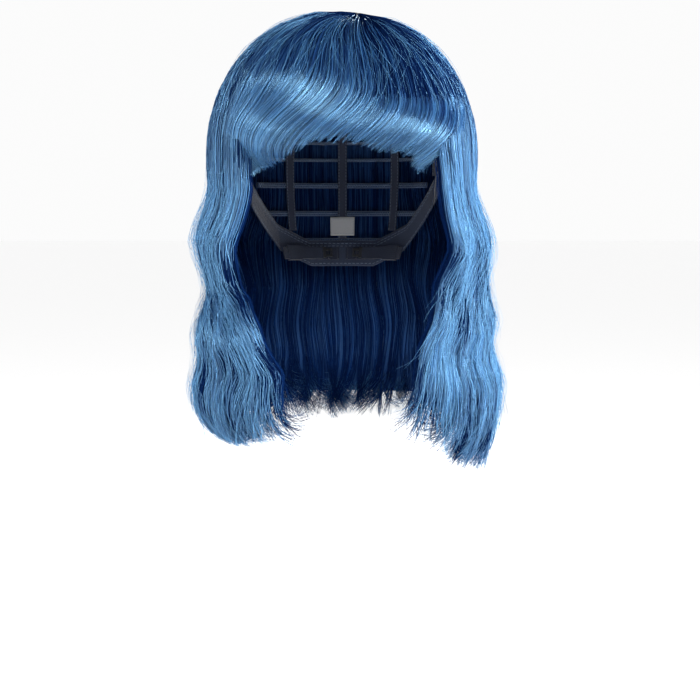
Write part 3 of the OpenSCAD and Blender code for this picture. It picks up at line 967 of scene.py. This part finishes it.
def ribbon(name, top, bottom, layer, kind, body, across=10, ribs=0, pucker=0.0):
    """A tape or piece of cloth on the head with rounded edges, between two lines of (azimuth, angle up the
    head). It returns the piece with the width, length and area of its cut."""
    stations = len(top)
    w = np.linspace(0, 1, across)[None, :, None]
    spread = top[:, None] + (bottom - top)[:, None] * w
    half = 0.5 * (layer[1] - layer[0])
    rounded = half * np.sqrt(np.clip(1 - np.abs(2 * w[..., 0] - 1) ** 5, 0.04, 1))
    middle = 0.5 * (layer[0] + layer[1]) + pucker * ripple(np.linspace(0, 60, stations), 61)[:, None]
    if ribs:
        rounded = rounded - 0.09 * (1 + np.cos(2 * np.pi * ribs * w[..., 0])) * half
    faces_out = on_scalp(spread[..., 0], spread[..., 1], middle + rounded)
    faces_in = on_scalp(spread[..., 0], spread[..., 1], middle - rounded)
    loop = np.concatenate([faces_out, faces_in[:, ::-1]], 1)
    around = 2 * across
    a = (np.arange(stations - 1)[:, None] * around + np.arange(around)[None, :]).ravel()
    b = (np.arange(stations - 1)[:, None] * around + (np.arange(around)[None, :] + 1) % around).ravel()
    k = np.arange(across - 1)
    last = (stations - 1) * around
    faces = [np.stack([a, b, b + around, a + around], -1),
             np.stack([k + 1, k, around - 1 - k, around - 2 - k], -1),
             np.stack([last + k, last + k + 1, last + around - 2 - k, last + around - 1 - k], -1)]
    obj = faced_out(make_mesh(name, loop.reshape(-1, 3), np.concatenate(faces)))
    centre = on_scalp(spread[..., 0], spread[..., 1], middle)
    run = arc_lengths(centre[:, across // 2])
    widths = np.linalg.norm(np.diff(centre, axis=1), axis=-1).sum(1)
    reach = np.concatenate([w[0, :, 0], w[0, ::-1, 0]])
    store(obj, "across", (widths[:, None] * reach[None, :]))
    store(obj, "along", np.repeat(run, around))
    finish_piece(obj, kind, body)
    area = float(np.sum(0.5 * (widths[1:] + widths[:-1]) * np.diff(run)))
    return obj, (float(widths.max()) * MM, float(run[-1]) * MM), area * MM * MM


def strip(az_low, az_high, top, bottom, stations):
    """The two edges of a strip that runs round the head."""
    az = np.linspace(az_low, az_high, stations)
    return np.stack([az, top(az)], -1), np.stack([az, bottom(az)], -1)


def stitches(name, lines, body, length=2.0, gap=1.1, thickness=0.16):
    """Rows of running stitches. Each line is (azimuths, angles up the head, distance out, +1 or -1 for the
    face that it shows on)."""
    starts = []
    for az, el, out, facing in lines:
        points = on_scalp(az, el, out)
        run = arc_lengths(points)
        begin = np.arange(0.6, run[-1] - length - 0.3, length + gap)
        at = begin[:, None] + np.linspace(0, length, 5)[None, :]
        rise = facing * np.array([-0.10, 0.10, 0.16, 0.10, -0.10])
        starts.append(on_scalp(np.interp(at, run, az), np.interp(at, run, el), out + rise[None, :]))
    points = np.concatenate(starts)
    verts, faces = tubes(points, np.full(points.shape[:2], thickness), 4)
    return finish_piece(make_mesh(name, verts, faces), "sewing_thread", body)


def cords(name, runs, radius, kind, body, sides=4):
    """Threads that follow lists of points, all with as many points each."""
    points = np.asarray(runs, float)
    verts, faces = tubes(points, np.full(points.shape[:2], radius), sides)
    return finish_piece(make_mesh(name, verts, faces), kind, body)


def cloth_material(name, thread, gap, pitch, on_strip=True, twill=False, roughness=0.85, sheen=0.3,
                   rise=0.00012):
    """Woven or knitted cloth: two sets of threads a pitch apart in millimetres, uneven in colour, with
    painted shade in the gaps between them.
    """
    material, shader = new_material(name, Roughness=roughness, Sheen_Weight=sheen, Sheen_Roughness=0.4)
    if on_strip:
        u, v = (attribute(material, "across"), "Fac"), (attribute(material, "along"), "Fac")
    else:
        split = node(material, "ShaderNodeSeparateXYZ")
        link(material, node(material, "ShaderNodeTexCoord"), "Object", split, "Vector")
        flat = math_node(material, "ADD", (split, "X"), (split, "Y"))
        u = (math_node(material, "MULTIPLY", (flat, "Value"), 1000.0), "Value")
        v = (math_node(material, "MULTIPLY", (split, "Z"), 1000.0), "Value")
    turn = 2 * math.pi / pitch
    v_turn = math_node(material, "MULTIPLY", v, turn)
    u_turn = math_node(material, "MULTIPLY_ADD", u, turn, (v_turn, "Value") if twill else 0.0)
    weft = math_node(material, "SINE", (v_turn, "Value"))
    warp = math_node(material, "SINE", (u_turn, "Value"))
    cross = math_node(material, "MULTIPLY", (weft, "Value"), (warp, "Value"))
    height = math_node(material, "MULTIPLY_ADD", (warp if twill else cross, "Value"), 0.5, 0.5)
    fuzz = node(material, "ShaderNodeTexNoise", Scale=900.0, Detail=3.0)
    wear = node(material, "ShaderNodeTexNoise", Scale=60.0, Detail=2.0)
    place = node(material, "ShaderNodeTexCoord")
    link(material, place, "Object", fuzz, "Vector")
    link(material, place, "Object", wear, "Vector")
    shade = math_node(material, "MULTIPLY_ADD", (fuzz, "Fac"), 0.5, (height, "Value"))
    shade = math_node(material, "MULTIPLY_ADD", (wear, "Fac"), 0.6, (shade, "Value"))
    # the weave pattern, with painted shade in the gaps between threads
    colours = ramp(material, [(0.25, gap), (1.0, thread)])
    shade = math_node(material, "MULTIPLY", (shade, "Value"), 0.6)
    link(material, shade, "Value", colours, "Fac")
    link(material, colours, "Color", shader, "Base Color")
    bump = node(material, "ShaderNodeBump", Strength=0.7, Distance=rise)
    relief = math_node(material, "MULTIPLY_ADD", (fuzz, "Fac"), 0.4, (height, "Value"))
    link(material, relief, "Value", bump, "Height")
    link(material, bump, "Normal", shader, "Normal")
    return material


# A darker copy of a colour, used for the painted shade in the gaps between threads
def darker(colour, share):
    return tuple(share * part for part in colour)


def cap_material(kind):
    """One of the cap's materials, made when it is first wanted."""
    found = bpy.data.materials.get(kind)
    if found:
        return found
    cap = bpy.context.scene.wig_cap
    # each cloth: thread colour, gap colour with painted shade, pitch and finish
    thread, gap, pitch, finish = {
        "cotton_tape": (cap.tape, darker(cap.tape, 0.35), 0.7, {"twill": True}),
        "rib_elastic": (cap.elastic, darker(cap.elastic, 0.3), 0.9, {}),
        "weft_tape": (cap.weft, darker(cap.weft, 0.35), 0.55, {}),
        "brushed_lining": (cap.lining, darker(cap.lining, 0.55), 0.6, {"sheen": 0.6}),
        "crown_lace": (cap.lining, darker(cap.lining, 0.4), 1.1, {"on_strip": False}),
        "label_satin": (cap.label, darker(cap.label, 0.75), 0.35, {"roughness": 0.4, "sheen": 0.1}),
        "strap_webbing": (cap.elastic, darker(cap.elastic, 0.3), 0.8, {"on_strip": False}),
        "sewing_thread": (cap.thread, darker(cap.thread, 0.5), 0.3, {"on_strip": False, "roughness": 0.55}),
        "net_thread": (cap.elastic, darker(cap.elastic, 0.5), 0.4, {"on_strip": False, "roughness": 0.5}),
        "coated_hook": ((0.03, 0.032, 0.038), (0.018, 0.02, 0.024), 2.7,
                        {"on_strip": False, "roughness": 0.32, "sheen": 0.0, "rise": 0.00002}),
    }[kind]
    return cloth_material(kind, thread, gap, pitch, **finish)


def dress_node(name, kind):
    """Gives a CAD node one of the cap's materials."""
    set_material(bpy.data.objects[name], cap_material(kind))


def finish_piece(obj, kind, body):
    """Gives a piece of the cap its material, and the body that it rides on."""
    set_material(obj, cap_material(kind))
    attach(obj, body)
    return obj


# ---------------------------------------------------------------- operators: cap


class WIG_OT_crown_net(bpy.types.Operator):
    """The open net round the crown, its binding cords, and the lace patch at the top"""

    bl_idname = "wig.crown_net"
    bl_label = "Crown net"

    def execute(self, context):
        out = (CAP[0] + CAP[1]) / 2
        pitch = context.scene.wig_cap.net_pitch / MM
        threads = int(2 * math.pi * HEAD_A * math.cos(math.radians((PATCH_EL + NET_EL) / 2)) / pitch)
        share = np.linspace(0, 1, 22)
        runs = []
        for start in np.arange(threads) * 360 / threads:
            for lean in (-1, 1):
                az = start + lean * THREAD_TURN * share
                low = np.where(from_front(az % 360) < 50, NET_FRONT_EL, NET_EL)
                el = PATCH_EL + (NET_EL - PATCH_EL) * share - (NET_EL - low) * smooth((share - 0.7) / 0.3)
                runs.append(on_scalp(az, el, out + 0.12 * lean))
        net = cords("net_lattice", runs, 0.19, "net_thread", "cap", 4)
        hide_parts("crown_net")
        round_az = np.linspace(0, 360, 181)
        rings = [on_scalp(round_az, PATCH_EL + 0.2, out), on_scalp(round_az, PATCH_EL - 1.0, out)]
        cords("net_binding", rings, 0.5, "net_thread", "cap", 6)
        top, bottom = strip(0, 360, lambda az: NET_EL + 0.9 + 0 * az, lambda az: NET_EL - 0.4 + 0 * az, 181)
        ribbon("net_edge", top, bottom, (CAP[0] - 0.2, CAP[1]), "rib_elastic", "cap", 6)
        dress_node("crown_patch", "crown_lace")
        knots = []
        rng = np.random.default_rng(71)
        for el in (88, 85, 82, 79, 76, 73):
            around = max(6, int(2 * math.pi * PATCH_RADIUS * math.cos(math.radians(el)) / KNOT_PITCH))
            for az in np.arange(0, 360, 360 / around):
                az, up = az + rng.uniform(-2, 2), el + rng.uniform(-0.5, 0.5)
                knots.append(on_scalp([az, az, az + 0.5, az + 1], [up - 0.7, up, up + 0.2, up - 0.5],
                                      np.array([0.95, 0.7, 0.7, 0.95])))
        cords("patch_knots", knots, 0.26, "net_thread", "cap", 4)
        return {"FINISHED"}


class WIG_OT_edge_bands(bpy.types.Operator):
    """The folded tape round the edge of the cap, its lining and the blank label"""

    bl_idname = "wig.edge_bands"
    bl_label = "Edge bands"

    def execute(self, context):
        bands = (("forehead_band", SEAM - SIDE_BAND_FROM, SIDE_BAND_FROM - SEAM, band_edge, 140),
                 ("left_side_band", SIDE_BAND_FROM, NAPE_FROM - SEAM, edge_el, 30),
                 ("nape_band", NAPE_FROM, 360 - NAPE_FROM, edge_el, 120),
                 ("right_side_band", 360 - NAPE_FROM + SEAM, 360 - SIDE_BAND_FROM, edge_el, 30))
        for name, low, high, edge, stations in bands:
            top, bottom = strip(low, high, lambda az, e=edge: e(az) + BAND_RISE, edge, stations)
            obj, flat, area = ribbon(f"{name}_tape", top, bottom, CAP, "cotton_tape", "cap", 16,
                                     pucker=0.05)
            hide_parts(name)
            rows = []
            az = np.linspace(low + 0.6, high - 0.6, stations)
            for up in (0.9, BAND_RISE - 0.9, BAND_RISE - 1.7):
                rows += [(az, edge(az) + up, CAP[0], -1), (az, edge(az) + up, CAP[1], 1)]
            seams = stitches(f"{name}_stitches", rows, "cap")
        top, bottom = strip(-58, 58, lambda az: edge_el(az) + BAND_RISE - 1,
                            lambda az: edge_el(az) + SEAM, 110)
        obj, flat, area = ribbon("forehead_lining_cloth", top, bottom, LINING, "brushed_lining", "cap",
                                 16)
        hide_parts("forehead_lining")
        az = np.linspace(-57, 57, 110)
        rows = [(az, edge_el(az) + up, LINING[0], -1) for up in (1.2, BAND_RISE - 1.8)]
        seams = stitches("forehead_lining_stitches", rows, "cap")
        top, bottom = strip(173, 187, lambda az: -15 + 0 * az, lambda az: -20.5 + 0 * az, 24)
        obj, flat, area = ribbon("nape_label_cloth", top, bottom, LABEL, "label_satin", "cap", 14)
        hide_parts("nape_label")
        sides = np.linspace(-20.2, -15.3, 12)
        across = np.linspace(173.3, 186.7, 12)
        rows = [(np.full(12, az), sides, LABEL[0], -1) for az in (173.7, 186.3)]
        rows += [(across, np.full(12, el), LABEL[0], -1) for el in (-15.6, -19.9)]
        seams = stitches("nape_label_stitches", rows, "cap", 1.3, 0.8, 0.13)
        return {"FINISHED"}


class WIG_OT_ribs(bpy.types.Operator):
    """The seven elastic ribs between the net and the edge bands"""

    bl_idname = "wig.ribs"
    bl_label = "Ribs"

    def execute(self, context):
        for index, az in enumerate(range(90, 271, 30)):
            low = float(band_edge(az)) + BAND_RISE + SEAM
            el = np.linspace(NET_EL - SEAM, low, 60)
            left = np.stack([np.full(60, az - RIB_WIDTH / 2), el], -1)
            right = np.stack([np.full(60, az + RIB_WIDTH / 2), el], -1)
            obj, _, _ = ribbon(f"rib_{index + 1}_elastic", left, right, CAP, "rib_elastic", "cap",
                               29, 7)
            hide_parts(f"rib_{index + 1}")
            rows = [(np.full(60, az + side * (RIB_WIDTH / 2 - 0.55)), el, CAP[0], -1) for side in (-1, 1)]
            stitches(f"rib_{index + 1}_stitches", rows, "cap", 1.5, 0.9, 0.13)
        return {"FINISHED"}


class WIG_OT_weft_tracks(bpy.types.Operator):
    """The nine rows of machine-made weft, each with its lockstitch seams and overlock"""

    bl_idname = "wig.weft_tracks"
    bl_label = "Weft tracks"

    def execute(self, context):
        for index, front in enumerate(TRACK_FRONT):
            el = TRACK_TOP - TRACK_PITCH * index
            stations = int((360 - 2 * front) / 2.5)
            top, bottom = strip(front, 360 - front, lambda az: el + TRACK_RISE / 2 + 0 * az,
                                lambda az: el - TRACK_RISE / 2 + 0 * az, stations)
            name = f"weft_track_{index + 1}"
            obj, _, _ = ribbon(f"{name}_tape", top, bottom, TRACK, "weft_tape", "cap", 8)
            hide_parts(name)
            az = np.linspace(front + 0.3, 359.7 - front, int((360 - 2 * front) / 0.35))
            sway = 0.48 * (2 * np.abs((az / 1.4) % 1 - 0.5) * 2 - 1)
            seams = [on_scalp(az, el + up + 0 * az, TRACK[0] - 0.08) for up in (-0.55, 0.0, 0.55)]
            cords(f"{name}_locks", seams, 0.13, "sewing_thread", "cap", 3)
            overlock = [on_scalp(az, el + sway, TRACK[0] - 0.18)]
            cords(f"{name}_overlock", overlock, 0.12, "sewing_thread", "cap", 3)
        return {"FINISHED"}


class WIG_OT_ear_tabs(bpy.types.Operator):
    """The two ear tabs, each a double layer of tape over a soft stay"""

    bl_idname = "wig.ear_tabs"
    bl_label = "Ear tabs"

    def execute(self, context):
        for side, sign in (("left", 1), ("right", -1)):
            top, bottom = strip(sign * TAB_FROM, sign * TAB_TO, lambda az: TAB_TOP + 0 * az, tab_el, 48)
            obj, flat, area = ribbon(f"{side}_ear_tab_cloth", top, bottom, TAB, "cotton_tape", f"{side}_tab",
                                     18)
            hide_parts(f"{side}_ear_tab")
            az = sign * np.linspace(TAB_FROM + 1.2, TAB_TO - 1.2, 48)
            rim = np.minimum(tab_el(az) + 1.3, TAB_TOP - 0.7)
            rows = [(az, rim, TAB[0], -1), (az, rim, TAB[1], 1)]
            stay = np.linspace(TAB_TOP - 0.8, TAB_TOP - 10.2, 12)
            middle = (TAB_FROM + TAB_TO) / 2
            rows += [(np.full(12, sign * (middle + offset)), stay, TAB[0], -1) for offset in (-2.1, 2.1)]
            seams = stitches(f"{side}_ear_tab_stitches", rows, f"{side}_tab", 1.6, 0.9, 0.14)
            dress_node(f"{side}_tab_stay", "coated_hook")
        return {"FINISHED"}


class WIG_OT_adjusters(bpy.types.Operator):
    """The adjuster straps, casings, hook loops and hooks at the nape"""

    bl_idname = "wig.adjusters"
    bl_label = "Nape adjusters"

    def execute(self, context):
        for side in ("left", "right"):
            for part, kind in (("strap_casing", "strap_webbing"), ("hook_loops", "strap_webbing"),
                               ("strap", "strap_webbing"), ("strap_hook", "coated_hook")):
                dress_node(f"{side}_{part}", kind)
        return {"FINISHED"}


# ---------------------------------------------------------------- operators: studio

# The floor, the wig's middle from side to side, and the levels of the lens and of what it is aimed at
FLOOR_LEVEL, FLOOR_REACH = -0.3675, 30.0
MIDDLE_X, EYE_LEVEL, AIM_LEVEL = 0.0056, -0.04, -0.132
# Soft lights: place, width, height, and power where it isn't a setting
KEY_LIGHT = ((0.15, -1.72, 0.92), 1.3, 0.45)
OTHER_LIGHTS = (("left_strip", (-1.5, -0.55, 0.25), 0.3, 1.1, 9),
                ("right_strip", (1.45, -0.8, 0.3), 0.3, 1.1, 40),
                ("back", (0.35, 1.75, 0.62), 1.2, 0.6, 40))


class WIG_OT_stage(bpy.types.Operator):
    """Pale floor, soft lights and the camera"""

    bl_idname = "wig.stage"
    bl_label = "Studio"

    def sky(self, context):
        """A white surround near the horizon, which is darker overhead so that the fibre keeps its depth."""
        world = bpy.data.worlds.new("studio")
        world.use_nodes = True
        nodes, links = world.node_tree.nodes, world.node_tree.links
        where = nodes.new("ShaderNodeTexCoord")
        split = nodes.new("ShaderNodeSeparateXYZ")
        fade = nodes.new("ShaderNodeMapRange")
        fade.interpolation_type = "SMOOTHSTEP"
        for key, value in (("From Min", 0.14), ("From Max", 0.42), ("To Min", 0.97), ("To Max", 0.07)):
            fade.inputs[key].default_value = value
        links.new(where.outputs["Generated"], split.inputs[0])
        links.new(split.outputs["Z"], fade.inputs["Value"])
        links.new(fade.outputs["Result"], nodes["Background"].inputs["Strength"])
        nodes["Background"].inputs["Color"].default_value = (1, 1, 1, 1)
        context.scene.world = world

    def aim(self, obj, place, target):
        obj.location = place
        obj.rotation_euler = (Vector(target) - Vector(place)).to_track_quat("-Z", "Y").to_euler()

    def execute(self, context):
        studio = context.scene.wig_studio
        context.scene.view_settings.view_transform = "Standard"
        self.sky(context)
        corners = [(x * FLOOR_REACH, y * FLOOR_REACH, FLOOR_LEVEL)
                   for x, y in ((-1, -1), (1, -1), (1, 1), (-1, 1))]
        mesh = bpy.data.meshes.new("floor")
        mesh.from_pydata(corners, [], [(0, 1, 2, 3)])
        floor = bpy.data.objects.new("floor", mesh)
        context.scene.collection.objects.link(floor)
        material, shader = new_material("studio_floor", Roughness=0.9, Specular_IOR_Level=0.1,
                                        Emission_Color=(1, 1, 1, 1), Emission_Strength=0.8)
        mottle = node(material, "ShaderNodeTexNoise", Scale=3.0, Detail=2.0)
        pale = ramp(material, [(0.3, (0.86, 0.86, 0.86)), (0.7, (0.9, 0.9, 0.9))])
        link(material, mottle, "Fac", pale, "Fac")
        link(material, pale, "Color", shader, "Base Color")
        floor.data.materials.append(material)

        for name, place, width, height, power in (("key", *KEY_LIGHT, studio.key_power), *OTHER_LIGHTS):
            light = bpy.data.lights.new(name, "AREA")
            light.shape = "RECTANGLE"
            light.size, light.size_y = width, height
            light.energy = power
            lamp = bpy.data.objects.new(name, light)
            self.aim(lamp, place, (MIDDLE_X, 0, 0))
            context.scene.collection.objects.link(lamp)

        camera = bpy.data.cameras.new("camera")
        camera.sensor_width = 36
        camera.lens = 36 * studio.camera_distance / studio.view_width
        holder = bpy.data.objects.new("camera", camera)
        self.aim(holder, (MIDDLE_X, -studio.camera_distance, EYE_LEVEL), (MIDDLE_X, 0, AIM_LEVEL))
        context.scene.collection.objects.link(holder)
        context.scene.camera = holder
        return {"FINISHED"}


class WIG_PT_panel(bpy.types.Panel):
    """The wig's sizes, colours and pieces"""

    bl_idname = "WIG_PT_panel"
    bl_label = "Costume wig"
    bl_space_type = "VIEW_3D"
    bl_region_type = "UI"
    bl_category = "Wig"

    def draw(self, context):
        layout = self.layout
        for group in (context.scene.wig_hair, context.scene.wig_cap, context.scene.wig_studio):
            box = layout.box()
            for key in group.bl_rna.properties.keys():
                if key not in ("rna_type", "name"):
                    box.prop(group, key)
        for operator in OPERATORS:
            layout.operator(operator.bl_idname)


OPERATORS = (WIG_OT_stage, WIG_OT_crown_hair, WIG_OT_fringe, WIG_OT_curtains, WIG_OT_back_hair,
             WIG_OT_crown_net, WIG_OT_edge_bands, WIG_OT_ribs, WIG_OT_weft_tracks, WIG_OT_ear_tabs,
             WIG_OT_adjusters)
GROUPS = (WigHair, WigCap, WigStudio)


def register():
    for cls in (*GROUPS, *OPERATORS, WIG_PT_panel):
        bpy.utils.register_class(cls)
    bpy.types.Scene.wig_hair = PointerProperty(type=WigHair)
    bpy.types.Scene.wig_cap = PointerProperty(type=WigCap)
    bpy.types.Scene.wig_studio = PointerProperty(type=WigStudio)


def unregister():
    del bpy.types.Scene.wig_studio, bpy.types.Scene.wig_cap, bpy.types.Scene.wig_hair
    for cls in reversed((*GROUPS, *OPERATORS, WIG_PT_panel)):
        bpy.utils.unregister_class(cls)


def main():
    register()
    for operator in OPERATORS:
        group, name = operator.bl_idname.split(".")
        getattr(getattr(bpy.ops, group), name)()


if __name__ == "__main__":
    main()
